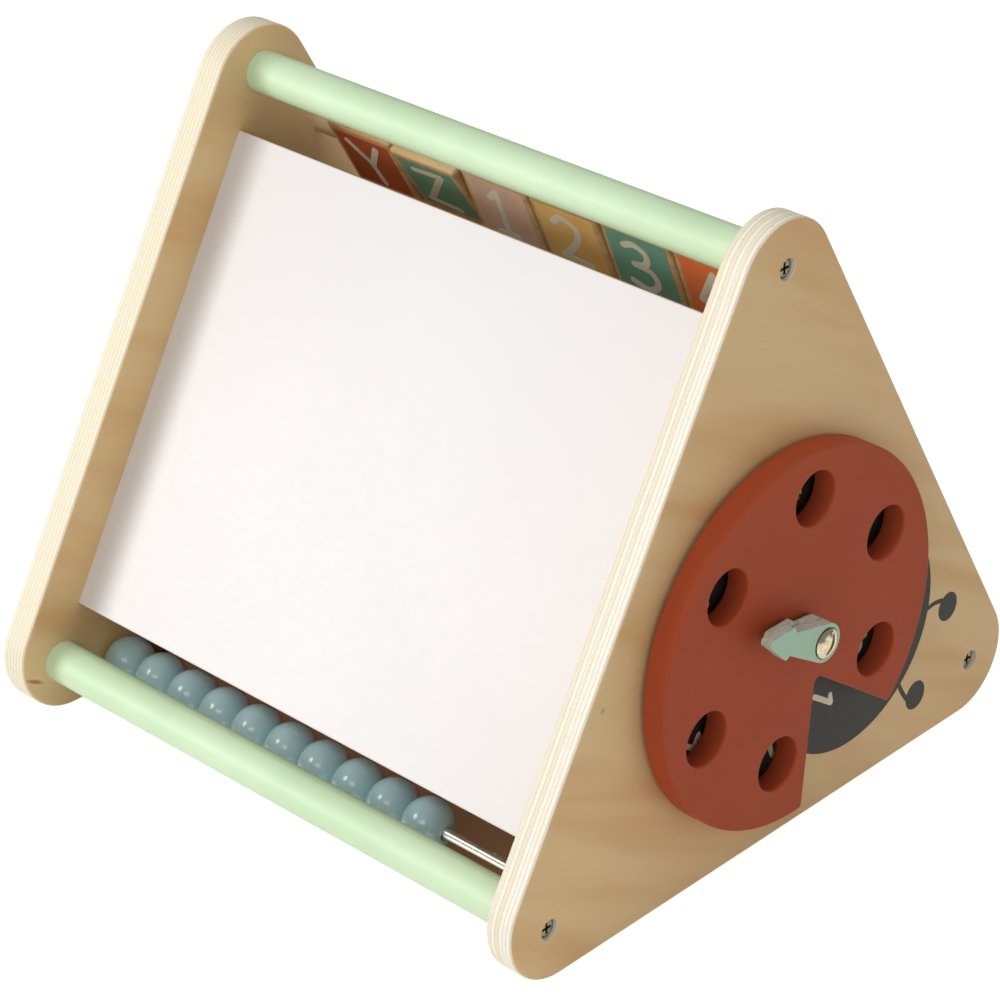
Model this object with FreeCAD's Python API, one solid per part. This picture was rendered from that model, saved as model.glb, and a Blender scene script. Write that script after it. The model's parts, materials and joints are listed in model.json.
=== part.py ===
import FreeCAD, Part
import math
import os

# Wooden activity pyramid: two rounded triangular end panels joined by three dowels.
# The front slope is a drawing board, the rear slope holds turning letter tiles on rods,
# the open underside is an abacus, and the right panel carries a ladybird disc with clock hands.
#
# X runs along the dowels, with the ladybird at its positive end.
# The drawing board faces negative Y, and Z is up from the floor.
# The origin is on the floor, under the middle of the whole toy.

# Frame
INNER_LENGTH = 240.0        # between the two panels
PLY = 12.0                  # thickness of the panels
BASE_SPACING = 232.0        # between the centres of the two lower dowels
APEX_HEIGHT = 204.0         # of the top dowel's centre above the lower ones
OUTLINE_OFFSET = 20.7       # from the lines between dowel centres out to the panel's edge
CORNER_RADIUS = 23.6
PANEL_EDGE_ROUND = 1.2
DOWEL_DIAMETER = 16.0
DOWEL_EDGE_ROUND = 0.5
SOCKET_DEPTH = 4.0          # each dowel end is let into the panel
FIT = 0.05                  # radial clearance of glued and pushed fits

# Screws through the panels into the dowel ends
SCREW_HEAD_DIAMETER = 7.2
SCREW_HEAD_HEIGHT = 2.6
SCREW_SHANK_DIAMETER = 4.0
SCREW_LENGTH = 26.0         # of the shank, with its point
SCREW_POINT = 3.0
SCREW_TIP_DIAMETER = 0.6
SCREW_HEAD_ROUND = 0.9
COUNTERBORE_DIAMETER = 8.0
COUNTERBORE_DEPTH = 4.0
CROSS_SLOT_WIDTH = 1.1
CROSS_SLOT_DEPTH = 1.5
CROSS_SLOT_SHARE = 0.62     # of the head's diameter

# Drawing board
BOARD_THICKNESS = 4.0
BOARD_PROUD = 1.5           # of its outer face, past the dowel centres
BOARD_LOW_GAP = 23.0        # from the front dowel's centre, up the slope, to its lower edge
BOARD_HIGH_GAP = 23.3       # from its upper edge to the top dowel's centre
BOARD_GROOVE_DEPTH = 5.0
BOARD_END_PLAY = 0.3        # at the bottom of each groove
BOARD_EDGE_ROUND = 0.6

# Steel rods
ROD_DIAMETER = 4.0
ROD_OUT = 8.5               # of the rods, outside the dowel centres
ROD_HOLE_DEPTH = 6.0

# Letter tiles on the rear slope
TILE_ROWS = 5
TILE_COLUMNS = 6
TILE_PITCH = 33.75          # along the rods
TILE_GAP = 0.4
TILE_HEIGHT = 33.8          # the rod goes through the middle
TILE_THICKNESS = 12.0
TILE_EDGE_ROUND = 1.5
TILE_HOLE_CLEARANCE = 0.1   # radial
TILE_ROW_SHIFT = -0.9       # of all rows, off the middle of the rods
END_ROW_DISTANCE = 40.5     # along the slope, from a dowel's centre to the nearest tile rod
TOP_ROW_TILT = [59.8, 55.3, 66.5, 66.1, 68.0, 68.4]     # degrees from the horizontal
LOWER_TILT_SWING = 4.0      # degrees that the lower tiles stand off the slope
TILT_ROW_PHASE = 2.4        # radians, so that no two neighbours lean alike
TILT_COLUMN_PHASE = 1.7

# Abacus beads in the underside
BEAD_ROWS = 7
BEADS_PER_ROW = 10
BEAD_DIAMETER = 21.1
BEAD_PITCH = 17.8           # of pushed together beads
BEAD_GAP = 0.2
BEAD_END_DIAMETER = 6.6     # of the small flat face at each end
BEAD_HOLE_DIAMETER = 5.4
BEAD_REST_GAP = 0.05        # between the rod's top and the hole that hangs on it
FIRST_BEAD_ROD = 25.7       # from the front dowel's centre to the first rod

# Ladybird disc, placed from the panel's centroid
DISC_RADIUS = 71.7
DISC_DROP = 1.6             # of the rim's centre, below the centroid
DISC_THICKNESS = 9.6
DISC_EDGE_ROUND = 0.8
SPOT_DIAMETER = 20.6
SPOT_EDGE_ROUND = 0.8
SPOT_ANGLES = [-30.5, 25.1, 84.0, 140.6, 201.3, 257.7]      # degrees
SPOT_DISTANCES = [49.6, 50.4, 52.0, 51.2, 52.8, 49.2]       # from the centroid
NOTCH_AXIS_ANGLE = -66.0    # angles run from positive Y towards positive Z
NOTCH_OPENING_ANGLE = 59.5
NOTCH_APEX_RADIUS = 21.8
NOTCH_INNER_ROUND = 2.5
NOTCH_OUTER_ROUND = 2.0

# Clock hands
HAND_THICKNESS = 4.3
HAND_ANGLE = 156.8          # both point the same way
MINUTE_HAND_LENGTH = 33.2
HOUR_HAND_LENGTH = 25.4
HAND_BOSS_RADIUS = 7.3
HAND_NECK_HALF_WIDTH = 4.2
HAND_HEAD_LENGTH = 13.5     # from the neck to the tip
HAND_BARB_HALF_WIDTH = 6.2
HAND_BARB_LENGTH = 1.1      # from the neck to the barbs
HAND_TIP_ROUND = 1.8
HAND_BARB_ROUND = 1.4

# Pivot of the disc and the hands
PIVOT_RISE = 1.4            # above the centroid
LAYER_GAP = 0.5             # between the turning layers
WASHER_DIAMETER = 14.0
WASHER_THICKNESS = 0.9
PIVOT_SHOULDER_DIAMETER = 8.0
PIVOT_RUNNING_CLEARANCE = 0.1
PIVOT_HEAD_DIAMETER = 11.0
PIVOT_HEAD_RIM = 1.4
PIVOT_DOME_HEIGHT = 2.2
PIVOT_HEAD_SINK = 1.0       # of the head into the minute hand
PIVOT_SLOT_WIDTH = 1.5
PIVOT_SLOT_DEPTH = 1.4
PIVOT_SLOT_ANGLE = 60.0
PIVOT_THREAD_DIAMETER = 5.0
NUT_BARREL_DIAMETER = 6.6
NUT_BARREL_LENGTH = 9.0
NUT_FLANGE_DIAMETER = 16.0
NUT_FLANGE_THICKNESS = 1.4

# How far each cutting shape reaches past the faces it opens
CUT_PAST = 1.0
SAME_PLACE = 1e-4           # edges closer than this to a plane lie in it

# Worked out from the driving dimensions
SLOPE = math.atan2(APEX_HEIGHT, BASE_SPACING / 2)
SIDE_LENGTH = math.hypot(APEX_HEIGHT, BASE_SPACING / 2)
FLOOR_TO_BASE = OUTLINE_OFFSET
ROD_RADIUS = ROD_DIAMETER / 2
LAYER_PITCH = HAND_THICKNESS + LAYER_GAP
DISC_REAR = WASHER_THICKNESS + LAYER_GAP
DISC_FRONT = DISC_REAR + DISC_THICKNESS
HOUR_HAND_REAR = DISC_FRONT + WASHER_THICKNESS + 2 * LAYER_GAP
MINUTE_HAND_REAR = HOUR_HAND_REAR + LAYER_PITCH
PIVOT_SEAT = MINUTE_HAND_REAR + HAND_THICKNESS - PIVOT_HEAD_SINK
PIVOT_TOP = PIVOT_SEAT + PIVOT_HEAD_RIM + PIVOT_DOME_HEIGHT
MIDDLE_X = -PIVOT_TOP / 2   # midway between the panels
RIGHT_INNER_X = MIDDLE_X + INNER_LENGTH / 2
LEFT_INNER_X = MIDDLE_X - INNER_LENGTH / 2
RIGHT_FACE_X = RIGHT_INNER_X + PLY
CENTROID_Z = FLOOR_TO_BASE + APEX_HEIGHT / 3
PIVOT_Z = CENTROID_Z + PIVOT_RISE
BEAD_TRAVEL = INNER_LENGTH - BEADS_PER_ROW * BEAD_PITCH

X_AXIS = FreeCAD.Vector(1, 0, 0)
ORIGIN = FreeCAD.Vector(0, 0, 0)


def vec(x, y, z):
    return FreeCAD.Vector(x, y, z)


def on_slope(side, along, out):
    """Y and Z of a point of the front (side -1) or rear (side 1) slope: its distance up the slope
    from the lower dowel's centre, and its distance outside the dowel centres."""
    y = side * (BASE_SPACING / 2 - along * math.cos(SLOPE) + out * math.sin(SLOPE))
    z = FLOOR_TO_BASE + along * math.sin(SLOPE) + out * math.cos(SLOPE)
    return y, z


def dowel_points():
    """Y and Z of the front, rear and top dowel's centre."""
    front = on_slope(-1, 0, 0)
    rear = on_slope(1, 0, 0)
    top = on_slope(1, SIDE_LENGTH, 0)
    return front, rear, top


def tile_rod_points():
    """Y and Z of the tile rods, from the top row down."""
    pitch = (SIDE_LENGTH - 2 * END_ROW_DISTANCE) / (TILE_ROWS - 1)
    points = []
    for row in range(TILE_ROWS):
        along = SIDE_LENGTH - END_ROW_DISTANCE - row * pitch
        points.append(on_slope(1, along, ROD_OUT))
    return points


def bead_rod_points():
    """Y and Z of the abacus rods, from the front row back."""
    span = BASE_SPACING - 2 * FIRST_BEAD_ROD
    pitch = span / (BEAD_ROWS - 1)
    points = []
    for row in range(BEAD_ROWS):
        y = -BASE_SPACING / 2 + FIRST_BEAD_ROD + row * pitch
        points.append((y, FLOOR_TO_BASE - ROD_OUT))
    return points


def cylinder(radius, x_start, x_end, y, z):
    """A cylinder that lies along X."""
    base = vec(min(x_start, x_end), y, z)
    return Part.makeCylinder(radius, abs(x_end - x_start), base, X_AXIS)


def extruded(points, x_start, x_end):
    """A prism along X over a closed outline of Y and Z points."""
    corners = [vec(x_start, y, z) for y, z in points]
    face = Part.Face(Part.makePolygon(corners + corners[:1]))
    return face.extrude(vec(x_end - x_start, 0, 0))


def edges_across(shape, x):
    """The edges of a shape that lie in the plane at this X."""
    found = []
    for edge in shape.Edges:
        box = edge.BoundBox
        if abs(box.XMin - x) < SAME_PLACE and abs(box.XMax - x) < SAME_PLACE:
            found.append(edge)
    return found


def edges_along_x_near(shape, points, reach):
    """The edges along X that pass within reach of one of the Y and Z points."""
    found = []
    for edge in shape.Edges:
        box = edge.BoundBox
        if box.YLength > SAME_PLACE or box.ZLength > SAME_PLACE:
            continue
        for y, z in points:
            if math.hypot(box.YMin - y, box.ZMin - z) < reach:
                found.append(edge)
                break
    return found


def save(name, solids):
    """Write one node: a solid, or several as a group."""
    if not isinstance(solids, list):
        solids = [solids]
    for solid in solids:
        if not solid.isValid() or len(solid.Solids) != 1:
            raise ValueError("node " + name + " is not one valid solid")
    shape = solids[0] if len(solids) == 1 else Part.makeCompound(solids)
    shape.exportStep("parts/" + name + ".step")
    box = shape.BoundBox
    print("%-16s %2d solid(s) %9.1f mm3  X %.1f %.1f  Y %.1f %.1f  Z %.1f %.1f" % (
        name, len(solids), shape.Volume,
        box.XMin, box.XMax, box.YMin, box.YMax, box.ZMin, box.ZMax))


def corner_centres():
    """Centres of the panel's rounded corners: inside the dowels, along each corner's bisector."""
    front, rear, top = dowel_points()
    top_half_angle = math.pi / 2 - SLOPE
    inset = CORNER_RADIUS - OUTLINE_OFFSET
    base_shift = inset / math.sin(SLOPE / 2)
    top_shift = inset / math.sin(top_half_angle)
    y_shift = base_shift * math.cos(SLOPE / 2)
    z_shift = base_shift * math.sin(SLOPE / 2)
    front_centre = (front[0] + y_shift, front[1] + z_shift)
    rear_centre = (rear[0] - y_shift, rear[1] + z_shift)
    top_centre = (top[0], top[1] - top_shift)
    return [front_centre, rear_centre, top_centre]


def panel_outline(x):
    """The rounded triangle: straight sides tangent to three corner arcs."""
    centres = corner_centres()
    side_normals = [-math.pi / 2, math.pi / 2 - SLOPE, math.pi / 2 + SLOPE]
    edges = []
    for i in range(3):
        angle = side_normals[i]
        start = centres[i]
        end = centres[(i + 1) % 3]
        offset_y = CORNER_RADIUS * math.cos(angle)
        offset_z = CORNER_RADIUS * math.sin(angle)
        line_start = vec(x, start[0] + offset_y, start[1] + offset_z)
        line_end = vec(x, end[0] + offset_y, end[1] + offset_z)
        edges.append(Part.makeLine(line_start, line_end))
        next_angle = side_normals[(i + 1) % 3]
        if next_angle < angle:
            next_angle += 2 * math.pi
        middle = (angle + next_angle) / 2
        arc_middle = vec(x, end[0] + CORNER_RADIUS * math.cos(middle),
                         end[1] + CORNER_RADIUS * math.sin(middle))
        arc_end = vec(x, end[0] + CORNER_RADIUS * math.cos(next_angle),
                      end[1] + CORNER_RADIUS * math.sin(next_angle))
        edges.append(Part.Arc(line_end, arc_middle, arc_end).toShape())
    return Part.Face(Part.Wire(edges))


def board_corners(extra):
    """The drawing board's section, grown by a clearance all round."""
    low = BOARD_LOW_GAP - extra
    high = SIDE_LENGTH - BOARD_HIGH_GAP + extra
    outer = BOARD_PROUD + extra
    inner = BOARD_PROUD - BOARD_THICKNESS - extra
    section = [(low, outer), (high, outer), (high, inner), (low, inner)]
    return [on_slope(-1, along, out) for along, out in section]


def make_panel(inner_x, outward):
    """One plywood end panel. Outward is 1 for the right panel and -1 for the left one."""
    outer_x = inner_x + outward * PLY
    socket_x = inner_x + outward * SOCKET_DEPTH
    counterbore_x = outer_x - outward * COUNTERBORE_DEPTH
    panel = panel_outline(inner_x).extrude(vec(outward * PLY, 0, 0))
    panel = panel.makeFillet(PANEL_EDGE_ROUND, edges_across(panel, inner_x) + edges_across(panel, outer_x))
    cuts = []
    for y, z in dowel_points():
        cuts.append(cylinder(DOWEL_DIAMETER / 2 + FIT, inner_x, socket_x, y, z))
        cuts.append(cylinder(SCREW_SHANK_DIAMETER / 2 + FIT, inner_x, outer_x, y, z))
        cuts.append(cylinder(COUNTERBORE_DIAMETER / 2, counterbore_x, outer_x, y, z))
    for y, z in tile_rod_points() + bead_rod_points():
        cuts.append(cylinder(ROD_RADIUS + FIT, inner_x, inner_x + outward * ROD_HOLE_DEPTH, y, z))
    cuts.append(extruded(board_corners(FIT), inner_x, inner_x + outward * BOARD_GROOVE_DEPTH))
    return panel.cut(Part.makeCompound(cuts))


def make_right_panel():
    """The right panel also has the hole for the pivot's nut."""
    panel = make_panel(RIGHT_INNER_X, 1)
    hole = cylinder(NUT_BARREL_DIAMETER / 2 + FIT, RIGHT_INNER_X, RIGHT_FACE_X, 0, PIVOT_Z)
    return panel.cut(hole).Solids[0]


def make_dowel(y, z):
    """A round dowel with a pilot hole in each end for its screw."""
    x_start = LEFT_INNER_X - SOCKET_DEPTH
    x_end = RIGHT_INNER_X + SOCKET_DEPTH
    dowel = cylinder(DOWEL_DIAMETER / 2, x_start, x_end, y, z)
    dowel = dowel.makeChamfer(DOWEL_EDGE_ROUND, edges_across(dowel, x_start) + edges_across(dowel, x_end))
    pilot_radius = SCREW_SHANK_DIAMETER / 2 + FIT
    left_pilot = cylinder(pilot_radius, x_start, x_start + SCREW_LENGTH, y, z)
    right_pilot = cylinder(pilot_radius, x_end - SCREW_LENGTH, x_end, y, z)
    return dowel.cut(left_pilot).cut(right_pilot).Solids[0]


def make_dowel_screw(outer_x, outward, y, z):
    """A cross-head screw, sunk in the panel's counterbore."""
    seat_x = outer_x - outward * COUNTERBORE_DEPTH
    head_x = seat_x + outward * SCREW_HEAD_HEIGHT
    head = cylinder(SCREW_HEAD_DIAMETER / 2, seat_x, head_x, y, z)
    head = head.makeFillet(SCREW_HEAD_ROUND, edges_across(head, head_x))
    shank_end = seat_x - outward * (SCREW_LENGTH - SCREW_POINT)
    shank = cylinder(SCREW_SHANK_DIAMETER / 2, seat_x, shank_end, y, z)
    point = Part.makeCone(SCREW_SHANK_DIAMETER / 2, SCREW_TIP_DIAMETER / 2, SCREW_POINT,
                          vec(shank_end, y, z), vec(-outward, 0, 0))
    screw = head.fuse([shank, point])
    slot_length = SCREW_HEAD_DIAMETER * CROSS_SLOT_SHARE
    for size_y, size_z in [(slot_length, CROSS_SLOT_WIDTH), (CROSS_SLOT_WIDTH, slot_length)]:
        x_low = min(head_x, head_x - outward * CROSS_SLOT_DEPTH)
        corner = vec(x_low, y - size_y / 2, z - size_z / 2)
        screw = screw.cut(Part.makeBox(CROSS_SLOT_DEPTH, size_y, size_z, corner))
    return screw.Solids[0]


def make_whiteboard():
    """The drawing board, held in the groove of each panel."""
    reach = BOARD_GROOVE_DEPTH - BOARD_END_PLAY
    board = extruded(board_corners(0), LEFT_INNER_X - reach, RIGHT_INNER_X + reach)
    long_edges = edges_along_x_near(board, board_corners(0), 0.01)
    return board.makeFillet(BOARD_EDGE_ROUND, long_edges).Solids[0]


def make_rod(y, z):
    """A steel rod, pushed into a blind hole of each panel."""
    return cylinder(ROD_RADIUS, LEFT_INNER_X - ROD_HOLE_DEPTH, RIGHT_INNER_X + ROD_HOLE_DEPTH, y, z)


def tile_tilt(row, column):
    """Degrees from the horizontal. The lower rows lie nearly in the slope, each a little off it."""
    if row == 0:
        return TOP_ROW_TILT[column]
    phase = TILT_ROW_PHASE * row + TILT_COLUMN_PHASE * column
    return math.degrees(SLOPE) + LOWER_TILT_SWING * math.sin(phase)


def make_tile(row, column):
    """A square tile that turns on a rod through its middle."""
    y, z = tile_rod_points()[row]
    x = MIDDLE_X + TILE_ROW_SHIFT + (column - (TILE_COLUMNS - 1) / 2) * TILE_PITCH
    width = TILE_PITCH - TILE_GAP
    corner = vec(-width / 2, -TILE_THICKNESS / 2, -TILE_HEIGHT / 2)
    tile = Part.makeBox(width, TILE_THICKNESS, TILE_HEIGHT, corner)
    tile = tile.makeFillet(TILE_EDGE_ROUND, tile.Edges)
    tile = tile.cut(cylinder(ROD_RADIUS + TILE_HOLE_CLEARANCE, -width, width, 0, 0))
    tile.rotate(ORIGIN, X_AXIS, 90 - tile_tilt(row, column))
    tile.translate(vec(x, y, z))
    return tile.Solids[0]


def make_bead(x, y, z):
    """A flattened round bead with a wide hole. It hangs on its rod, so its axis is a little lower."""
    half_length = (BEAD_PITCH - BEAD_GAP) / 2
    hole_radius = BEAD_HOLE_DIAMETER / 2
    end_radius = BEAD_END_DIAMETER / 2
    side = Part.Arc(vec(-half_length, end_radius, 0), vec(0, BEAD_DIAMETER / 2, 0),
                    vec(half_length, end_radius, 0)).toShape()
    corners = [vec(half_length, end_radius, 0), vec(half_length, hole_radius, 0),
               vec(-half_length, hole_radius, 0), vec(-half_length, end_radius, 0)]
    profile = Part.Wire([side] + [Part.makeLine(corners[i], corners[i + 1]) for i in range(3)])
    bead = Part.Face(profile).revolve(ORIGIN, X_AXIS, 360)
    drop = hole_radius - ROD_RADIUS - BEAD_REST_GAP
    bead.translate(vec(x, y, z - drop))
    return bead.Solids[0]


def make_bead_row(row):
    """Ten beads pushed together against the left panel."""
    y, z = bead_rod_points()[row]
    return [make_bead(LEFT_INNER_X + (i + 0.5) * BEAD_PITCH, y, z) for i in range(BEADS_PER_ROW)]


def notch_wedge(x_start, x_end):
    """The wedge that the disc's notch is cut with. It opens away from the disc's middle."""
    axis = math.radians(NOTCH_AXIS_ANGLE)
    apex = (NOTCH_APEX_RADIUS * math.cos(axis), NOTCH_APEX_RADIUS * math.sin(axis))
    points = [apex]
    for side in (-1, 1):
        angle = axis + side * math.radians(NOTCH_OPENING_ANGLE / 2)
        reach = 2 * DISC_RADIUS
        points.append((apex[0] + reach * math.cos(angle), apex[1] + reach * math.sin(angle)))
    wedge = extruded(points, x_start, x_end)
    return wedge.makeFillet(NOTCH_INNER_ROUND, edges_along_x_near(wedge, [apex], 0.01))


def notch_mouth_points():
    """Where the notch's straight sides meet the disc's rim."""
    axis = math.radians(NOTCH_AXIS_ANGLE)
    apex_y = NOTCH_APEX_RADIUS * math.cos(axis)
    apex_z = NOTCH_APEX_RADIUS * math.sin(axis) + DISC_DROP
    points = []
    for side in (-1, 1):
        angle = axis + side * math.radians(NOTCH_OPENING_ANGLE / 2)
        along = apex_y * math.cos(angle) + apex_z * math.sin(angle)
        across = apex_y * math.sin(angle) - apex_z * math.cos(angle)
        run = math.sqrt(DISC_RADIUS ** 2 - across ** 2) - along
        y = apex_y + run * math.cos(angle)
        z = apex_z + run * math.sin(angle) - DISC_DROP
        points.append((y, z))
    return points


def make_ladybird_disc():
    """The red wing case: a disc with six spots cut through and an open notch."""
    disc = cylinder(DISC_RADIUS, 0, DISC_THICKNESS, 0, -DISC_DROP)
    disc = disc.cut(notch_wedge(-CUT_PAST, DISC_THICKNESS + CUT_PAST)).Solids[0]
    disc = disc.makeFillet(NOTCH_OUTER_ROUND, edges_along_x_near(disc, notch_mouth_points(), 0.5))
    disc = disc.makeFillet(DISC_EDGE_ROUND, edges_across(disc, 0) + edges_across(disc, DISC_THICKNESS))
    for spot_angle, distance in zip(SPOT_ANGLES, SPOT_DISTANCES):
        y = distance * math.cos(math.radians(spot_angle))
        z = distance * math.sin(math.radians(spot_angle))
        disc = disc.cut(spot_cutter(y, z))
    bore_radius = PIVOT_SHOULDER_DIAMETER / 2 + PIVOT_RUNNING_CLEARANCE
    disc = disc.cut(cylinder(bore_radius, -CUT_PAST, DISC_THICKNESS + CUT_PAST, 0, PIVOT_RISE))
    disc.translate(vec(RIGHT_FACE_X + DISC_REAR, 0, CENTROID_Z))
    return disc.Solids[0]


def spot_cutter(y, z):
    """A cylinder that widens to a rounded edge at both faces of the disc."""
    radius = SPOT_DIAMETER / 2
    r = SPOT_EDGE_ROUND
    mid = r * (1 - math.cos(math.pi / 4))
    t = DISC_THICKNESS
    rear = [vec(-CUT_PAST, 0, 0), vec(-CUT_PAST, radius + r, 0), vec(0, radius + r, 0)]
    rear_arc = Part.Arc(rear[2], vec(mid, radius + mid, 0), vec(r, radius, 0))
    front = [vec(t, radius + r, 0), vec(t + CUT_PAST, radius + r, 0), vec(t + CUT_PAST, 0, 0)]
    front_arc = Part.Arc(vec(t - r, radius, 0), vec(t - mid, radius + mid, 0), front[0])
    edges = [Part.makeLine(rear[0], rear[1]), Part.makeLine(rear[1], rear[2]), rear_arc.toShape()]
    edges.append(Part.makeLine(vec(r, radius, 0), vec(t - r, radius, 0)))
    edges += [front_arc.toShape(), Part.makeLine(front[0], front[1]), Part.makeLine(front[1], front[2])]
    edges.append(Part.makeLine(front[2], rear[0]))
    cutter = Part.Face(Part.Wire(edges)).revolve(ORIGIN, X_AXIS, 360)
    cutter.translate(vec(0, y, z))
    return cutter


def make_hand(length, rear, sink):
    """A clock hand: round boss, tapering shaft and arrow head. Sink is the seat for the screw's head."""
    neck = length - HAND_HEAD_LENGTH
    barb = neck + HAND_BARB_LENGTH
    root = tangent_point(neck, HAND_NECK_HALF_WIDTH, HAND_BOSS_RADIUS)
    half = [root, (neck, HAND_NECK_HALF_WIDTH), (barb, HAND_BARB_HALF_WIDTH)]
    mirrored = [(along, -across) for along, across in reversed(half)]
    tip = (length + tip_overshoot(barb, length), 0)
    arrow = extruded(half + [tip] + mirrored, 0, HAND_THICKNESS)
    arrow = arrow.makeFillet(HAND_TIP_ROUND, edges_along_x_near(arrow, [tip], 0.01))
    barbs = [(barb, HAND_BARB_HALF_WIDTH), (barb, -HAND_BARB_HALF_WIDTH)]
    arrow = arrow.makeFillet(HAND_BARB_ROUND, edges_along_x_near(arrow, barbs, 0.01))
    hand = arrow.fuse(cylinder(HAND_BOSS_RADIUS, 0, HAND_THICKNESS, 0, 0)).removeSplitter()
    hole_radius = PIVOT_SHOULDER_DIAMETER / 2 + PIVOT_RUNNING_CLEARANCE
    hand = hand.cut(cylinder(hole_radius, -CUT_PAST, HAND_THICKNESS + CUT_PAST, 0, 0))
    if sink > 0:
        seat_radius = PIVOT_HEAD_DIAMETER / 2 + LAYER_GAP
        seat = cylinder(seat_radius, HAND_THICKNESS - sink, HAND_THICKNESS + CUT_PAST, 0, 0)
        hand = hand.cut(seat)
    hand.rotate(ORIGIN, X_AXIS, HAND_ANGLE)
    hand.translate(vec(RIGHT_FACE_X + rear, 0, PIVOT_Z))
    return hand.Solids[0]


def tangent_point(along, across, radius):
    """Where a line from the given point touches a circle round the pivot."""
    turn = math.atan2(across, along) + math.acos(radius / math.hypot(along, across))
    return radius * math.cos(turn), radius * math.sin(turn)


def tip_overshoot(barb, length):
    """How far the sharp tip would stand past the rounded one."""
    half_angle = math.atan2(HAND_BARB_HALF_WIDTH, length - barb)
    return HAND_TIP_ROUND / math.sin(half_angle) - HAND_TIP_ROUND


def make_pivot_washer(rear):
    """A spacer on the pivot, its rear face so far out from the panel."""
    x_start = RIGHT_FACE_X + rear
    x_end = x_start + WASHER_THICKNESS
    washer = cylinder(WASHER_DIAMETER / 2, x_start, x_end, 0, PIVOT_Z)
    hole_radius = PIVOT_SHOULDER_DIAMETER / 2 + PIVOT_RUNNING_CLEARANCE
    return washer.cut(cylinder(hole_radius, x_start, x_end, 0, PIVOT_Z)).Solids[0]


def make_pivot_screw():
    """A shoulder screw with a domed, slotted head: the shoulder carries the disc and both hands."""
    seat_x = RIGHT_FACE_X + PIVOT_SEAT
    rim_x = seat_x + PIVOT_HEAD_RIM
    head = cylinder(PIVOT_HEAD_DIAMETER / 2, seat_x, rim_x, 0, PIVOT_Z)
    dome_radius = ((PIVOT_HEAD_DIAMETER / 2) ** 2 + PIVOT_DOME_HEIGHT ** 2) / (2 * PIVOT_DOME_HEIGHT)
    ball = Part.makeSphere(dome_radius, vec(rim_x + PIVOT_DOME_HEIGHT - dome_radius, 0, PIVOT_Z))
    dome = ball.common(cylinder(PIVOT_HEAD_DIAMETER / 2, rim_x, rim_x + PIVOT_DOME_HEIGHT, 0, PIVOT_Z))
    shoulder = cylinder(PIVOT_SHOULDER_DIAMETER / 2, RIGHT_FACE_X, seat_x, 0, PIVOT_Z)
    thread = cylinder(PIVOT_THREAD_DIAMETER / 2, RIGHT_INNER_X, RIGHT_FACE_X, 0, PIVOT_Z)
    screw = head.fuse([dome, shoulder, thread]).removeSplitter()
    top_x = rim_x + PIVOT_DOME_HEIGHT
    corner = vec(top_x - PIVOT_SLOT_DEPTH, -PIVOT_HEAD_DIAMETER, -PIVOT_SLOT_WIDTH / 2)
    slot = Part.makeBox(PIVOT_SLOT_DEPTH, 2 * PIVOT_HEAD_DIAMETER, PIVOT_SLOT_WIDTH, corner)
    slot.rotate(ORIGIN, X_AXIS, PIVOT_SLOT_ANGLE)
    slot.translate(vec(0, 0, PIVOT_Z))
    return screw.cut(slot).Solids[0]


def make_pivot_nut():
    """A tee nut: its barrel is in the panel and its flange on the panel's inner face."""
    flange_x = RIGHT_INNER_X - NUT_FLANGE_THICKNESS
    barrel_end = RIGHT_INNER_X + NUT_BARREL_LENGTH
    flange = cylinder(NUT_FLANGE_DIAMETER / 2, flange_x, RIGHT_INNER_X, 0, PIVOT_Z)
    barrel = cylinder(NUT_BARREL_DIAMETER / 2, RIGHT_INNER_X, barrel_end, 0, PIVOT_Z)
    bore = cylinder(PIVOT_THREAD_DIAMETER / 2 + FIT, flange_x, barrel_end, 0, PIVOT_Z)
    return flange.fuse(barrel).removeSplitter().cut(bore).Solids[0]


def build():
    os.makedirs("parts", exist_ok=True)
    front, rear, top = dowel_points()
    save("panel_left", make_panel(LEFT_INNER_X, -1).Solids[0])
    save("panel_right", make_right_panel())
    save("dowel_front", make_dowel(*front))
    save("dowel_rear", make_dowel(*rear))
    save("dowel_top", make_dowel(*top))
    screws = []
    for y, z in (front, rear, top):
        screws.append(make_dowel_screw(LEFT_INNER_X - PLY, -1, y, z))
        screws.append(make_dowel_screw(RIGHT_FACE_X, 1, y, z))
    save("dowel_screws", screws)
    save("whiteboard", make_whiteboard())
    save("rods", [make_rod(y, z) for y, z in tile_rod_points() + bead_rod_points()])
    for row in range(TILE_ROWS):
        for column in range(TILE_COLUMNS):
            save("tile_%d_%d" % (row + 1, column + 1), make_tile(row, column))
    for i, bead in enumerate(make_bead_row(0)):
        save("bead_%d" % (i + 1), bead)
    for row in range(1, BEAD_ROWS):
        save("bead_row_%d" % (row + 1), make_bead_row(row))
    save("ladybird_disc", make_ladybird_disc())
    save("hour_hand", make_hand(HOUR_HAND_LENGTH, HOUR_HAND_REAR, 0))
    save("minute_hand", make_hand(MINUTE_HAND_LENGTH, MINUTE_HAND_REAR, PIVOT_HEAD_SINK))
    washer_rears = (0, DISC_FRONT + LAYER_GAP)
    save("pivot_washer", [make_pivot_washer(rear) for rear in washer_rears])
    save("pivot_screw", make_pivot_screw())
    save("pivot_nut", make_pivot_nut())
    print("each bead row travels %.1f mm" % BEAD_TRAVEL)


build()
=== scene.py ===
# %% [markdown]
# # The looks of a wooden activity pyramid
#
# The toy is two plywood triangles joined by painted dowels, with a drawing board in front,
# letter tiles behind, beads underneath and a ladybird on its right end. Its solids arrive as
# a finished frame, and this lesson gives each of them the surface that the real one has. What
# is only printed on the wood, such as the letters, is made here as thin layers of ink.

# %% Load the frame
import json
import math

import bpy
import bmesh
from mathutils import Matrix, Vector


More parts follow.
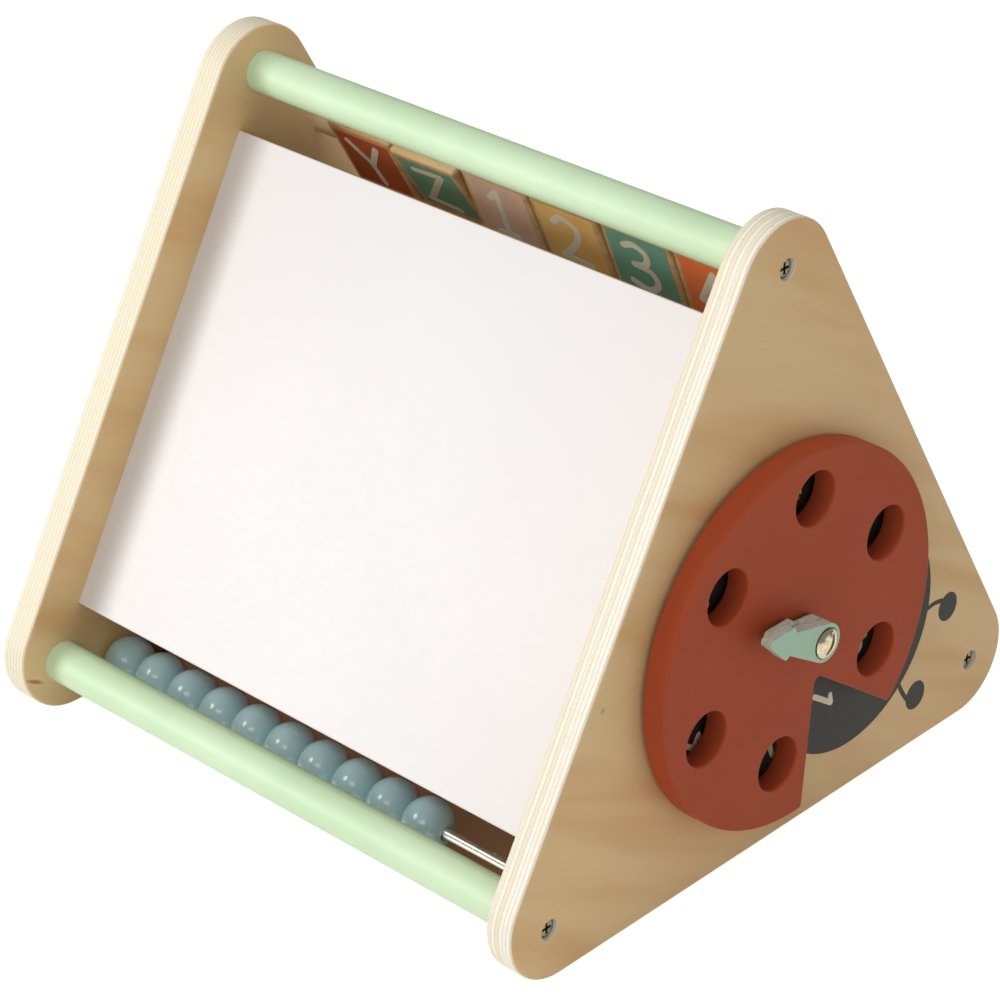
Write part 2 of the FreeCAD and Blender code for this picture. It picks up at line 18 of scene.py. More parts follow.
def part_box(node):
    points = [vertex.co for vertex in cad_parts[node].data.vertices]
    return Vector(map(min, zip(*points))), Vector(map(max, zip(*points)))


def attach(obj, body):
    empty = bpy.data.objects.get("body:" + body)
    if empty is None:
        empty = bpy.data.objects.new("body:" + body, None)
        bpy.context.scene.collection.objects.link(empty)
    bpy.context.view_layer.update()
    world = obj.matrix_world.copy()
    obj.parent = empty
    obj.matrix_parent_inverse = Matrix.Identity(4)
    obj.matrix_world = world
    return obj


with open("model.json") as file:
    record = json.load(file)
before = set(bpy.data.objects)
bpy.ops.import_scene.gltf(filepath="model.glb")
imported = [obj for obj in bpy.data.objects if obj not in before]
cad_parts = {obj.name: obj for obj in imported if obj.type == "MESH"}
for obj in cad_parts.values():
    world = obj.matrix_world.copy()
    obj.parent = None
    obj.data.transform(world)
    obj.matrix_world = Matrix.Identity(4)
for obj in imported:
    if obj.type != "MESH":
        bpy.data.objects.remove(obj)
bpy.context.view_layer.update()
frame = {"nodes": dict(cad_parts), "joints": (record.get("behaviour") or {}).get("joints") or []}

MM = 0.001
nodes = frame["nodes"]

# %% [markdown]
# ## Places read from the solids
#
# Nothing is measured twice. The panels' boxes say where the wood begins and ends along the
# dowels, and each turning piece's joint says where its axis is. So every print and every
# pattern below stays on its piece if the toy is built in another size.

# %% Panels, pivot and axes
left_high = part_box("panel_left")[1]
right_low, right_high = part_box("panel_right")
LEFT_INNER_X = left_high.x
RIGHT_INNER_X = right_low.x
RIGHT_FACE_X = right_high.x
PLY = right_high.x - right_low.x

joint_place = {joint["child"]: Vector(joint["pos_m"]) for joint in frame["joints"] if "pos_m" in joint}
PIVOT = joint_place["ladybird_disc"]


def flat_normal(node):
    """The direction that the largest flat face of a node looks in."""
    faces = nodes[node].data.polygons
    return max(faces, key=lambda face: face.area).normal.copy()


BOARD_NORMAL = flat_normal("whiteboard")
SLOPE = math.atan2(abs(BOARD_NORMAL.y), abs(BOARD_NORMAL.z))
print("slope of the sides:", round(math.degrees(SLOPE), 1), "degrees")

# %% [markdown]
# ## The camera
#
# The picture was taken from the front right, a little above the toy, with a long lens. A
# camera is easiest to read as a place, a point that it looks at and a small tilt of the
# horizon, so it is built from these three. The lens sets how much of the view it takes in.

# %% The camera
CAMERA_PLACE = Vector((783.4, -823.4, 732.9)) * MM
CAMERA_TARGET = Vector((-12.9, 0.0, 87.6)) * MM
CAMERA_TILT = math.radians(-0.77)
LENS = 128.2
SENSOR = 36.0

camera_data = bpy.data.cameras.new("camera")
camera_data.lens = LENS
camera_data.sensor_width = SENSOR
camera = bpy.data.objects.new("camera", camera_data)
aim = (CAMERA_TARGET - CAMERA_PLACE).to_track_quat("-Z", "Y").to_matrix().to_4x4()
camera.matrix_world = Matrix.Translation(CAMERA_PLACE) @ aim @ Matrix.Rotation(CAMERA_TILT, 4, "Z")
bpy.context.scene.collection.objects.link(camera)
bpy.context.scene.camera = camera
print("camera at", [round(v, 3) for v in CAMERA_PLACE])

# %% [markdown]
# ## Light and floor
#
# A toy photographed for a shop stands in soft light on a white sweep. A good part of the light
# comes from all around. From the front left, a small lamp casts the panel's soft edge shadow on
# the board, and a window, lower down, reaches under the board to the beads. A large lamp at the
# front right lights the letters between the dowel and the board, and softens the shadow beside
# the disc. A lamp overhead lights the tops of the dowels, and a weak one on the right stands for
# light that comes back from the room. Past the floor the camera sees plain white. The floor is
# white paint, and the camera and reflections see light of its own added, so that it stays white
# around the toy and still holds the shadow. Under the toy the floor is painted brown as shade,
# which shows between the beads and the board, and on this painted shade the camera and
# reflections see a little painted glow.

# %% Colours and nodes
def colour(hex_code):
    """A linear colour from its sRGB hex value."""
    parts = [int(hex_code[i:i + 2], 16) / 255 for i in (0, 2, 4)]
    linear = [part / 12.92 if part <= 0.04045 else ((part + 0.055) / 1.055) ** 2.4 for part in parts]
    return (*linear, 1.0)


def add(tree, kind, links, out=0, **settings):
    """Add one shader node and give back its output.

    Links fills its inputs, each with a value or with the output of another node. Inputs are
    named or counted from 0. A Mix node of colours takes them at 6 and 7, and its result is
    output 2.
    """
    made = tree.nodes.new("ShaderNode" + kind)
    for name, value in settings.items():
        setattr(made, name, value)
    for socket, value in links.items():
        if isinstance(value, bpy.types.NodeSocket):
            tree.links.new(value, made.inputs[socket])
        else:
            made.inputs[socket].default_value = value
    return made.outputs[out] if made.outputs else None


# %% Lamps
WORLD_LIGHT = 0.34
ROOM_WHITE = "FFFDF8"
LAMP_DISTANCE = 2.0
LAMPS = {"key_lamp": ((-0.41, -0.63, 0.66), 0.5, 6.5),          # direction, size in metres and watts
         "window": ((-0.60, -0.76, 0.24), 0.6, 14.0),
         "front_lamp": ((0.32, -0.80, 0.50), 1.0, 8.0),
         "top_lamp": ((0.10, 0.15, 0.98), 1.2, 8.0),
         "fill_lamp": ((0.93, 0.36, 0.0), 1.0, 3.2)}


def add_lamp(name, direction, size, power):
    """A square lamp that looks at the middle of the toy."""
    data = bpy.data.lights.new(name, "AREA")
    data.size = size
    data.energy = power
    lamp = bpy.data.objects.new(name, data)
    lamp.location = CAMERA_TARGET + Vector(direction) * LAMP_DISTANCE
    lamp.rotation_euler = Vector(direction).to_track_quat("Z", "Y").to_euler()
    bpy.context.scene.collection.objects.link(lamp)


for name, (direction, size, power) in LAMPS.items():
    add_lamp(name, direction, size, power)

world = bpy.data.worlds.new("room")
world.use_nodes = True
tree = world.node_tree
tree.nodes.clear()
room_light = add(tree, "Background", {"Color": colour(ROOM_WHITE), "Strength": WORLD_LIGHT})
backdrop = add(tree, "Background", {"Color": (1, 1, 1, 1), "Strength": 1.0})
rays = tree.nodes.new("ShaderNodeLightPath").outputs
room = add(tree, "MixShader", {0: rays["Is Camera Ray"], 1: room_light, 2: backdrop})
add(tree, "OutputWorld", {"Surface": room})
bpy.context.scene.world = world
bpy.context.scene.view_settings.view_transform = "Standard"
print(len(LAMPS), "lamps")

# %% Floor
FLOOR_SIZE = 8.0                        # metres
FLOOR_WHITE = "EDEBE8"
FLOOR_OWN_LIGHT = 0.78
PAINTED_SHADE_HALF = Vector((0.121, 0.095))       # metres, of the brown painted shade under the toy
PAINTED_SHADE_EDGE = 0.006                        # over which it fades out
# painted shade: the floor under the toy is coloured brown for the shade there, and the camera and
# reflections see a little painted glow on it
PAINTED_SHADE_BROWN = "6E4D32"
PAINTED_SHADE_GLOW = "4E3826"

floor_paint = bpy.data.materials.new("white_sweep_paint_with_painted_shade")
floor_paint.use_nodes = True
tree = floor_paint.node_tree
tree.nodes.clear()
spot = tree.nodes.new("ShaderNodeTexCoord").outputs["Object"]
middle_x = (LEFT_INNER_X + RIGHT_INNER_X) / 2
from_middle = add(tree, "VectorMath", {0: spot, 1: (middle_x, 0, 0)}, operation="SUBTRACT")
aside = add(tree, "VectorMath", {0: from_middle}, operation="ABSOLUTE")
past_painted_shade = add(tree, "VectorMath", {0: aside, 1: (*PAINTED_SHADE_HALF, 0)}, operation="SUBTRACT")
outside = add(tree, "VectorMath", {0: past_painted_shade, 1: (0, 0, 0)}, operation="MAXIMUM")
gap = add(tree, "VectorMath", {0: outside}, out="Value", operation="LENGTH")
is_white = add(tree, "MapRange", {0: gap, 1: 0.0, 2: PAINTED_SHADE_EDGE}, interpolation_type="SMOOTHSTEP")
tone = add(tree, "Mix", {0: is_white, 6: colour(PAINTED_SHADE_BROWN), 7: colour(FLOOR_WHITE)}, out=2, data_type="RGBA")
matt = add(tree, "BsdfDiffuse", {"Color": tone})
own_white = (FLOOR_OWN_LIGHT, FLOOR_OWN_LIGHT, FLOOR_OWN_LIGHT, 1)
# the floor's own white light, and a little painted glow on the painted shade under the toy
own_white_and_painted_glow = add(tree, "Mix", {0: is_white, 6: colour(PAINTED_SHADE_GLOW), 7: own_white}, out=2, data_type="RGBA")
own_light = add(tree, "Emission", {"Color": own_white_and_painted_glow, "Strength": 1.0})
brighter = add(tree, "AddShader", {0: matt, 1: own_light})
rays = tree.nodes.new("ShaderNodeLightPath").outputs
is_seen = add(tree, "Math", {0: rays["Is Camera Ray"], 1: rays["Is Glossy Ray"]}, operation="MAXIMUM")
chosen = add(tree, "MixShader", {0: is_seen, 1: matt, 2: brighter})
add(tree, "OutputMaterial", {"Surface": chosen})

bpy.ops.mesh.primitive_plane_add(size=FLOOR_SIZE, location=(0, 0, 0))
floor = bpy.context.object
floor.name = "floor"
floor.data.materials.append(floor_paint)
print("a floor of", FLOOR_SIZE, "m")

# %% [markdown]
# ## Patterns at real size
#
# A pattern is believable when its size is right: a birch fibre is under a millimetre wide and
# a growth band is centimetres wide. Noise repeats once per unit of the vector that feeds it,
# so a vector multiplied by one over a size in millimetres gives noise of just that size, and
# a different size along each axis stretches it into grain.

# %% Pattern helpers
def start_material(name, settings):
    """A material with its shader's own values set, and the coordinates that its patterns start from."""
    material = bpy.data.materials.new(name)
    material.use_nodes = True
    tree = material.node_tree
    shader = tree.nodes["Principled BSDF"]
    for socket, value in settings.items():
        shader.inputs[socket].default_value = value
    place = tree.nodes.new("ShaderNodeTexCoord").outputs
    return material, tree, shader, place


def grain(tree, vector, sizes_mm, **settings):
    """Noise whose features have these sizes in millimetres along X, Y and Z."""
    per_feature = tuple(1 / (size * MM) for size in sizes_mm)
    scaled = add(tree, "VectorMath", {0: vector, 1: per_feature}, operation="MULTIPLY")
    inputs = {"Vector": scaled, "Scale": 1.0, "Detail": 3.0}
    inputs.update(settings)
    return add(tree, "TexNoise", inputs)


def lay_over(tree, base, hex_code, pattern, low, high, most=1.0):
    """Lay a colour over another as a pattern passes from low to high, up to a given share."""
    share = add(tree, "MapRange", {0: pattern, 1: low, 2: high, 4: most}, interpolation_type="SMOOTHSTEP")
    return add(tree, "Mix", {0: share, 6: base, 7: colour(hex_code)}, out=2, data_type="RGBA")


def looking_along(tree, place, direction, low=0.55, high=0.85):
    """1 where the surface looks along a direction, to either side, and 0 where it looks across it."""
    vectors = {0: place["Normal"], 1: tuple(direction)}
    cosine = add(tree, "VectorMath", vectors, out="Value", operation="DOT_PRODUCT")
    either = add(tree, "Math", {0: cosine}, operation="ABSOLUTE")
    return add(tree, "MapRange", {0: either, 1: low, 2: high}, interpolation_type="SMOOTHSTEP")


def finish_node(name, material):
    """Give a solid of the frame its material."""
    mesh = nodes[name].data
    mesh.materials.clear()
    mesh.materials.append(material)


# %% [markdown]
# ## Birch plywood
#
# The end panels are birch plywood, sanded and sealed with a thin matt lacquer. Two things tell
# the eye what it is. The faces are peeled veneer: pale, with wide tawny bands, fine fibre
# flecks and now and then a pin knot. The sawn edges show the plies, whose grain turns by a
# quarter from one to the next, so every second one is end grain and looks warmer. A picture of
# wood would show neither edge nor face rightly, so both are worked out from the place in the
# panel: the distance through it picks the ply, and the surface's direction tells edge from face.

# %% Birch veneer, on the faces
ALONG_DOWELS = (1.0, 0.0, 0.0)
FACE_GRAIN = SLOPE - math.pi / 2        # of the veneer, falling away from the front edge
FACE_BAND_MM = (40.0, 150.0, 20.0)      # wide growth bands
FACE_FIBRE_MM = (8.0, 26.0, 0.9)        # fibres, drawn coarser than real ones so that they show
FACE_FLECK_MM = (1.5, 3.2, 0.8)
BIRCH_LIGHT = "E4C592"
BIRCH_MID = "DEB882"
BIRCH_TAWNY = "D4A570"
BIRCH_FLECK = "B98A5C"
KNOT_BROWN = "9A5F34"


def birch_face(tree, place, knots):
    """The veneer's colour and its fibres, with knots.

    Each knot is a place in mm, three half widths in mm on the grain's own axes, and a strength.
    """
    whole_turn = {"Vector": place["Object"], "Angle": -FACE_GRAIN}
    turned = add(tree, "VectorRotate", whole_turn, rotation_type="X_AXIS")
    bands = grain(tree, turned, FACE_BAND_MM, Roughness=0.45, Distortion=0.3)
    fibres = grain(tree, turned, FACE_FIBRE_MM, Detail=4.0, Roughness=0.65)
    flecks = grain(tree, turned, FACE_FLECK_MM, Detail=2.0)
    tone = lay_over(tree, colour(BIRCH_LIGHT), BIRCH_MID, bands, 0.40, 0.62)
    tone = lay_over(tree, tone, BIRCH_TAWNY, bands, 0.54, 0.74, 0.70)
    tone = lay_over(tree, tone, BIRCH_TAWNY, fibres, 0.50, 0.75, 0.18)
    tone = lay_over(tree, tone, BIRCH_FLECK, flecks, 0.60, 0.80, 0.12)
    for knot_mm, half_mm, strength in knots:
        knot_place = tuple(Vector(knot_mm) * MM)
        half_widths = tuple(Vector(half_mm) * MM)
        from_knot = add(tree, "VectorMath", {0: place["Object"], 1: knot_place}, operation="SUBTRACT")
        knot_turn = {"Vector": from_knot, "Angle": -FACE_GRAIN}
        by_grain = add(tree, "VectorRotate", knot_turn, rotation_type="X_AXIS")
        in_widths = add(tree, "VectorMath", {0: by_grain, 1: half_widths}, operation="DIVIDE")
        gap = add(tree, "VectorMath", {0: in_widths}, out="Value", operation="LENGTH")
        tone = lay_over(tree, tone, KNOT_BROWN, gap, 1.0, 0.2, strength)
    return tone, fibres


# %% Plies, on the edges
PLIES = 7
EDGE_STREAK_MM = (0.5, 26.0, 26.0)      # saw-cut fibres along the plies
EDGE_PORE_MM = (0.7, 0.9, 0.9)
PLY_WANDER_MM = (30.0, 22.0, 22.0)      # the plies are not quite even
PLY_WANDER = 0.11                       # to either side, as a share of a ply's thickness
PLY_CHANCE_MM = (2.6, 160.0, 160.0)     # no two plies are alike
EDGE_LONG_GRAIN_LEFT_SHADED = {"left": "E9E2CC", "right": "F2EEE1"}     # the left panel's edges are painted darker, as painted shade for the weaker light on the left
EDGE_END_GRAIN = "EBE0C6"
EDGE_GLUE = "CCB894"


def birch_edge(tree, place, side, inner_x, outward):
    """The plies' colour, counted from the panel's inner face, and the pores of their end grain."""
    x = add(tree, "SeparateXYZ", {0: place["Object"]})
    inward = add(tree, "Math", {0: x, 1: inner_x}, operation="SUBTRACT")
    depth = add(tree, "Math", {0: inward, 1: outward * PLIES / PLY}, operation="MULTIPLY")
    wander = grain(tree, place["Object"], PLY_WANDER_MM, Detail=1.0)
    shift = add(tree, "MapRange", {0: wander, 1: 0.2, 2: 0.8, 3: -PLY_WANDER, 4: PLY_WANDER})
    ply = add(tree, "Math", {0: depth, 1: shift}, operation="ADD")
    wave = add(tree, "Math", {0: ply, 1: 1.0}, operation="PINGPONG")
    off_middle = add(tree, "Math", {0: wave, 1: 0.5}, operation="SUBTRACT")
    glue = add(tree, "Math", {0: off_middle}, operation="ABSOLUTE")
    streaks = grain(tree, place["Object"], EDGE_STREAK_MM, Roughness=0.6)
    pores = grain(tree, place["Object"], EDGE_PORE_MM, Detail=1.0)
    chance = grain(tree, place["Object"], PLY_CHANCE_MM, Detail=1.0)
    likely = add(tree, "MapRange", {0: chance, 1: 0.35, 2: 0.60, 3: 0.25, 4: 1.0})
    end_grain = add(tree, "Math", {0: wave, 1: likely}, operation="MULTIPLY")
    tone = lay_over(tree, colour(EDGE_LONG_GRAIN_LEFT_SHADED[side]), EDGE_END_GRAIN, end_grain, 0.25, 0.65)
    tone = lay_over(tree, tone, EDGE_GLUE, glue, 0.14, 0.02, 0.75)
    tone = lay_over(tree, tone, EDGE_END_GRAIN, streaks, 0.52, 0.75, 0.35)
    tone = lay_over(tree, tone, EDGE_GLUE, pores, 0.58, 0.80, 0.45)
    return tone, pores


# %% Both together
LACQUER = {"Roughness": 0.5, "IOR": 1.5, "Specular IOR Level": 0.4}
PLYWOOD_RELIEF_MM = 0.05


def make_birch(side, inner_x, outward, knots):
    """Lacquered birch plywood for one panel. Outward is 1 for the right panel and -1 for the left one."""
    material, tree, shader, place = start_material("lacquered_birch_plywood_" + side, LACQUER)
    face_tone, fibres = birch_face(tree, place, knots)
    edge_tone, pores = birch_edge(tree, place, side, inner_x, outward)
    is_face = looking_along(tree, place, ALONG_DOWELS)
    tone = add(tree, "Mix", {0: is_face, 6: edge_tone, 7: face_tone}, out=2, data_type="RGBA")
    tree.links.new(tone, shader.inputs["Base Color"])
    height = add(tree, "Math", {0: fibres, 1: pores}, operation="ADD")
    relief = add(tree, "Bump", {"Height": height, "Distance": PLYWOOD_RELIEF_MM * MM, "Strength": 0.4})
    tree.links.new(relief, shader.inputs["Normal"])
    return material


LEFT_KNOTS = [((LEFT_INNER_X / MM, -129.6, 17.4), (2.0, 6.4, 1.3), 0.85)]
RIGHT_KNOTS = [((RIGHT_FACE_X / MM, -89.6, 95.4), (1.6, 1.6, 1.6), 0.4)]
finish_node("panel_left", make_birch("left", LEFT_INNER_X, -1, LEFT_KNOTS))
finish_node("panel_right", make_birch("right", RIGHT_INNER_X, 1, RIGHT_KNOTS))
print("birch panels of", PLIES, "plies,", round(PLY / MM, 1), "mm thick")

# %% [markdown]
# ## Painted wood
#
# The dowels, the beads and the ladybird's wing case are painted with the same kind of
# water-based toy paint, but not alike. The dowels are dipped: smooth and satin, with a wide soft
# highlight and no clear coat. The beads are tumbled and get a glossy clear coat. The wing case
# is sprayed: matt, with the very fine grain of spray mist. One function makes them all, and
# takes the sheen, the clear coat, the mist and the direction of the wood below, whose fibres
# still telegraph through a thin coat.

# %% Paint
PAINT_CLOUD_MM = (35.0, 35.0, 35.0)
PAINT_MIST_MM = (0.8, 0.8, 0.8)
PAINT_RELIEF_MM = 0.03
PAINT_MIST_RELIEF = 0.35        # of the specks, where the fibres count as 1
PAINT_COAT_ROUGHNESS = 0.14
PAINT_SHINIER = 0.06            # roughness that the specks take away at most
PAINT_DULLER = 0.08             # and add at most


def make_paint(name, colours, roughness, coat, fibre_mm, mist=0.15, shine=0.35):
    """Paint on wood: a slightly clouded colour over fibres of the given size."""
    hex_code, darker = colours
    settings = {"IOR": 1.5, "Specular IOR Level": shine,
                "Coat Weight": coat, "Coat Roughness": PAINT_COAT_ROUGHNESS}
    material, tree, shader, place = start_material(name, settings)
    clouds = grain(tree, place["Object"], PAINT_CLOUD_MM)
    specks = grain(tree, place["Object"], PAINT_MIST_MM, Detail=2.0)
    fibres = grain(tree, place["Object"], fibre_mm)
    tone = lay_over(tree, colour(hex_code), darker, clouds, 0.35, 0.70, 0.45)
    tone = lay_over(tree, tone, darker, specks, 0.50, 0.75, mist)
    tree.links.new(tone, shader.inputs["Base Color"])
    sheen = add(tree, "MapRange", {0: specks, 1: 0.2, 2: 0.8,
                                   3: roughness - PAINT_SHINIER, 4: roughness + PAINT_DULLER})
    tree.links.new(sheen, shader.inputs["Roughness"])
    height = add(tree, "Math", {0: specks, 1: PAINT_MIST_RELIEF, 2: fibres}, operation="MULTIPLY_ADD")
    relief = add(tree, "Bump", {"Height": height, "Distance": PAINT_RELIEF_MM * MM, "Strength": 0.6})
    tree.links.new(relief, shader.inputs["Normal"])
    return material


# %% Mint dowels
DOWEL_FIBRE_MM = (40.0, 0.9, 0.9)
MINTS = ("CBE4BF", "B8D7AA")
mint_dowel_paint = make_paint("mint_satin_paint", MINTS, 0.50, 0.0, DOWEL_FIBRE_MM, shine=0.9)
for name in ("dowel_front", "dowel_rear", "dowel_top"):
    finish_node(name, mint_dowel_paint)
print("three dowels in mint satin paint")

# %% Beads
BEAD_FIBRE_MM = (6.0, 1.5, 1.5)
BEAD_ROUGHNESS = 0.24
GREY_BLUES = ("BCDDE3", "ADCED5")
BEAD_COLOURS = {"bead_row_2": ("B4523A", "A24531"), "bead_row_3": ("DDA04F", "CE9142"),
                "bead_row_4": ("6F9A74", "628B67"), "bead_row_5": ("CFA08C", "BF8F7B"),
                "bead_row_6": ("5C9A86", "4F8976"), "bead_row_7": ("DA6A42", "C85B36")}
grey_blue_paint = make_paint("grey_blue_gloss_paint", GREY_BLUES, BEAD_ROUGHNESS, 0.9, BEAD_FIBRE_MM)
front_beads = [name for name in nodes if name.startswith("bead_") and not name.startswith("bead_row")]
for name in front_beads:
    finish_node(name, grey_blue_paint)
for name, colours in BEAD_COLOURS.items():
    finish_node(name, make_paint(name + "_gloss_paint", colours, BEAD_ROUGHNESS, 1.0, BEAD_FIBRE_MM))
print(len(front_beads), "front beads, and", len(BEAD_COLOURS), "rows in other colours")

# %% The ladybird's wing case
DISC_FIBRE_MM = (9.0, 9.0, 1.2)
BRICK_REDS = ("AF4F2F", "A54728")
red_spray_paint = make_paint("brick_red_spray_paint", BRICK_REDS, 0.50, 0.0, DISC_FIBRE_MM,
                             mist=0.30, shine=0.12)
finish_node("ladybird_disc", red_spray_paint)
print("disc in brick red spray paint")

# %% [markdown]
# ## The hands
#
# The clock hands are cut from dyed grey fibreboard and painted mint on their flat sides only,
# so that their cut edges show the board. The direction of the surface tells one from the other,
# as it does on the plywood.

# %% Clock hands
HAND_SPECK_MM = (0.8, 0.8, 0.8)
HAND_FIBRE_MM = (0.5, 2.5, 2.5)
HAND_RELIEF_MM = 0.05
HAND_MINT = "A9CDB3"
HAND_MINT_DARK = "9ABFA6"
FIBREBOARD_GREY = "C9CDBE"
FIBREBOARD_DARK = "AEB4A6"


def make_hand_finish(name):
    """Mint paint on the flat sides, bare fibreboard on the cut edges."""
    material, tree, shader, place = start_material(name, {"Roughness": 0.45, "IOR": 1.5})
    specks = grain(tree, place["Object"], HAND_SPECK_MM, Detail=2.0)
    fibres = grain(tree, place["Object"], HAND_FIBRE_MM)
    paint = lay_over(tree, colour(HAND_MINT), HAND_MINT_DARK, specks, 0.45, 0.75, 0.5)
    board = lay_over(tree, colour(FIBREBOARD_GREY), FIBREBOARD_DARK, fibres, 0.40, 0.65)
    is_flat = looking_along(tree, place, ALONG_DOWELS)
    tone = add(tree, "Mix", {0: is_flat, 6: board, 7: paint}, out=2, data_type="RGBA")
    tree.links.new(tone, shader.inputs["Base Color"])
    relief = add(tree, "Bump", {"Height": fibres, "Distance": HAND_RELIEF_MM * MM, "Strength": 0.5})
    tree.links.new(relief, shader.inputs["Normal"])
    return material


hand_finish = make_hand_finish("mint_painted_fibreboard")
for name in ("hour_hand", "minute_hand"):
    finish_node(name, hand_finish)
print("two hands in painted fibreboard")

# %% [markdown]
# ## The drawing board
#
# The board is hardboard faced with white melamine, hard and smooth enough to wipe clean. It is
# almost featureless, and a flat white would look cut out of paper. What a real one shows is a
# faint cloudiness, a slight orange-peel skin that breaks up reflections, and brown fibre at the
# cut edges.

# %% Drawing board
MELAMINE_CLOUD_MM = (60.0, 60.0, 60.0)
MELAMINE_PEEL_MM = (2.4, 2.4, 2.4)
HARDBOARD_FIBRE_MM = (2.0, 0.6, 0.6)
MELAMINE_RELIEF_MM = 0.02
MELAMINE_WHITE = "D9D5D4"
MELAMINE_CLOUD = "D7D3D2"
HARDBOARD_BROWN = "B08A60"
HARDBOARD_DARK = "8E6A45"


def make_melamine(name):
    """White melamine on the faces, brown hardboard at the edges."""
    settings = {"IOR": 1.52, "Coat Weight": 0.15, "Coat Roughness": 0.3}
    material, tree, shader, place = start_material(name, settings)
    clouds = grain(tree, place["Object"], MELAMINE_CLOUD_MM)
    peel = grain(tree, place["Object"], MELAMINE_PEEL_MM, Detail=2.0)
    fibre = grain(tree, place["Object"], HARDBOARD_FIBRE_MM, Detail=2.0)
    white = lay_over(tree, colour(MELAMINE_WHITE), MELAMINE_CLOUD, clouds, 0.35, 0.70)
    brown = lay_over(tree, colour(HARDBOARD_BROWN), HARDBOARD_DARK, fibre, 0.40, 0.70)
    is_face = looking_along(tree, place, BOARD_NORMAL)
    tone = add(tree, "Mix", {0: is_face, 6: brown, 7: white}, out=2, data_type="RGBA")
    tree.links.new(tone, shader.inputs["Base Color"])
    sheen = add(tree, "MapRange", {0: peel, 1: 0.3, 2: 0.7, 3: 0.37, 4: 0.41})
    tree.links.new(sheen, shader.inputs["Roughness"])
    relief = add(tree, "Bump", {"Height": peel, "Distance": MELAMINE_RELIEF_MM * MM, "Strength": 0.12})
    tree.links.new(relief, shader.inputs["Normal"])
    return material


finish_node("whiteboard", make_melamine("white_melamine_board"))
print("drawing board in white melamine")

# %% [markdown]
# ## Metals
#
# Three metals show. The rods are drawn steel, polished bright, with hair lines along their
# length from the die. The wood screws, the washers and the nut are zinc plated: greyer, and
# dulled by the plating's fine crystals. The screw that the hands turn on is nickel plated and
# a little warmer. A metal has no colour below its surface, so its whole look is the reflection
# and how much the roughness spreads it.

# %% Metals
def make_metal(name, light, dark, roughness, spread, line_mm, relief_mm=0.004):
    """A plated or drawn metal with its tool lines or crystals."""
    material, tree, shader, place = start_material(name, {"Metallic": 1.0})
    lines = grain(tree, place["Object"], line_mm)
    tree.links.new(lay_over(tree, colour(light), dark, lines, 0.3, 0.7), shader.inputs["Base Color"])
    dull = add(tree, "MapRange", {0: lines, 1: 0.3, 2: 0.7, 3: roughness - spread, 4: roughness + spread})
    tree.links.new(dull, shader.inputs["Roughness"])
    relief = add(tree, "Bump", {"Height": lines, "Distance": relief_mm * MM, "Strength": 0.3})
    tree.links.new(relief, shader.inputs["Normal"])
    return material


drawn_steel = make_metal("bright_drawn_steel", "FAF6EB", "EEE9DC", 0.36, 0.03, (60.0, 1.2, 1.2), 0.001)
zinc_plate = make_metal("zinc_plated_steel", "9A937D", "7C7562", 0.40, 0.08, (0.5, 0.5, 0.5))
nickel_plate = make_metal("nickel_plated_steel", "CDC2A6", "B5A98C", 0.20, 0.06, (0.8, 0.8, 0.8))
finish_node("rods", drawn_steel)
for name in ("dowel_screws", "pivot_washer", "pivot_nut"):
    finish_node(name, zinc_plate)
finish_node("pivot_screw", nickel_plate)
print("rods, screws and pivot in steel, zinc and nickel")

# %% [markdown]
# ## Beech tiles
#
# Each letter tile is a small block of beech, oiled but not painted on its sides. Beech is
# denser and pinker than birch, with short dark flecks, and its end grain drinks more oil and
# darkens. Its grain runs along the rod, so the two narrow ends show the end grain.

# %% Bare beech
BEECH_BAND_MM = (60.0, 5.0, 5.0)
BEECH_FLECK_MM = (3.0, 0.5, 0.5)
BEECH_RELIEF_MM = 0.06
BEECH_LIGHT = "E3C08A"
BEECH_MID = "D0A268"
BEECH_FLECK = "A87440"
BEECH_END_GRAIN = "B98A52"


def make_beech(name):
    """Oiled beech with its grain along the rod."""
    material, tree, shader, place = start_material(name, {"Roughness": 0.55, "IOR": 1.5})
    bands = grain(tree, place["Object"], BEECH_BAND_MM, Distortion=0.5)
    flecks = grain(tree, place["Object"], BEECH_FLECK_MM, Detail=2.0)
    tone = lay_over(tree, colour(BEECH_LIGHT), BEECH_MID, bands, 0.35, 0.70)
    tone = lay_over(tree, tone, BEECH_FLECK, flecks, 0.55, 0.75, 0.5)
    is_end = looking_along(tree, place, ALONG_DOWELS)
    tone = lay_over(tree, tone, BEECH_END_GRAIN, is_end, 0.0, 1.0, 0.45)
    tree.links.new(tone, shader.inputs["Base Color"])
    relief = add(tree, "Bump", {"Height": flecks, "Distance": BEECH_RELIEF_MM * MM, "Strength": 0.5})
    tree.links.new(relief, shader.inputs["Normal"])
    return material


beech = make_beech("oiled_beech")
tile_names = sorted(name for name in nodes if name.startswith("tile_"))
for name in tile_names:
    finish_node(name, beech)
print(len(tile_names), "beech tiles")

# %% [markdown]
# ## Ink on wood
#
# Letters, numbers and the dial are screen printed: a layer of ink with a crisp edge that
# stands a few hundredths of a millimetre off the wood. They could be painted into a material,
# but a real layer stays sharp at any size, turns with its tile and casts the right shadow. So
# each is a thin slab, made from its outline. A small helper places flat outlines on a surface:
# it knows the surface's middle, the directions that count as right and up on it, and its normal.

# %% Slabs of ink
INK = 0.08 * MM
INK_ROOT = 0.03 * MM        # how far the ink soaks into the wood
CORNER_STEPS = 6


class Surface:
    """A flat place to print on."""

    def __init__(self, middle, right, up):
        self.middle = middle
        self.right = right.normalized()
        self.up = up.normalized()
        self.normal = self.right.cross(self.up)

    def point(self, across, along, height):
        """A place on the surface, or this high above it."""
        return self.middle + self.right * across + self.up * along + self.normal * height


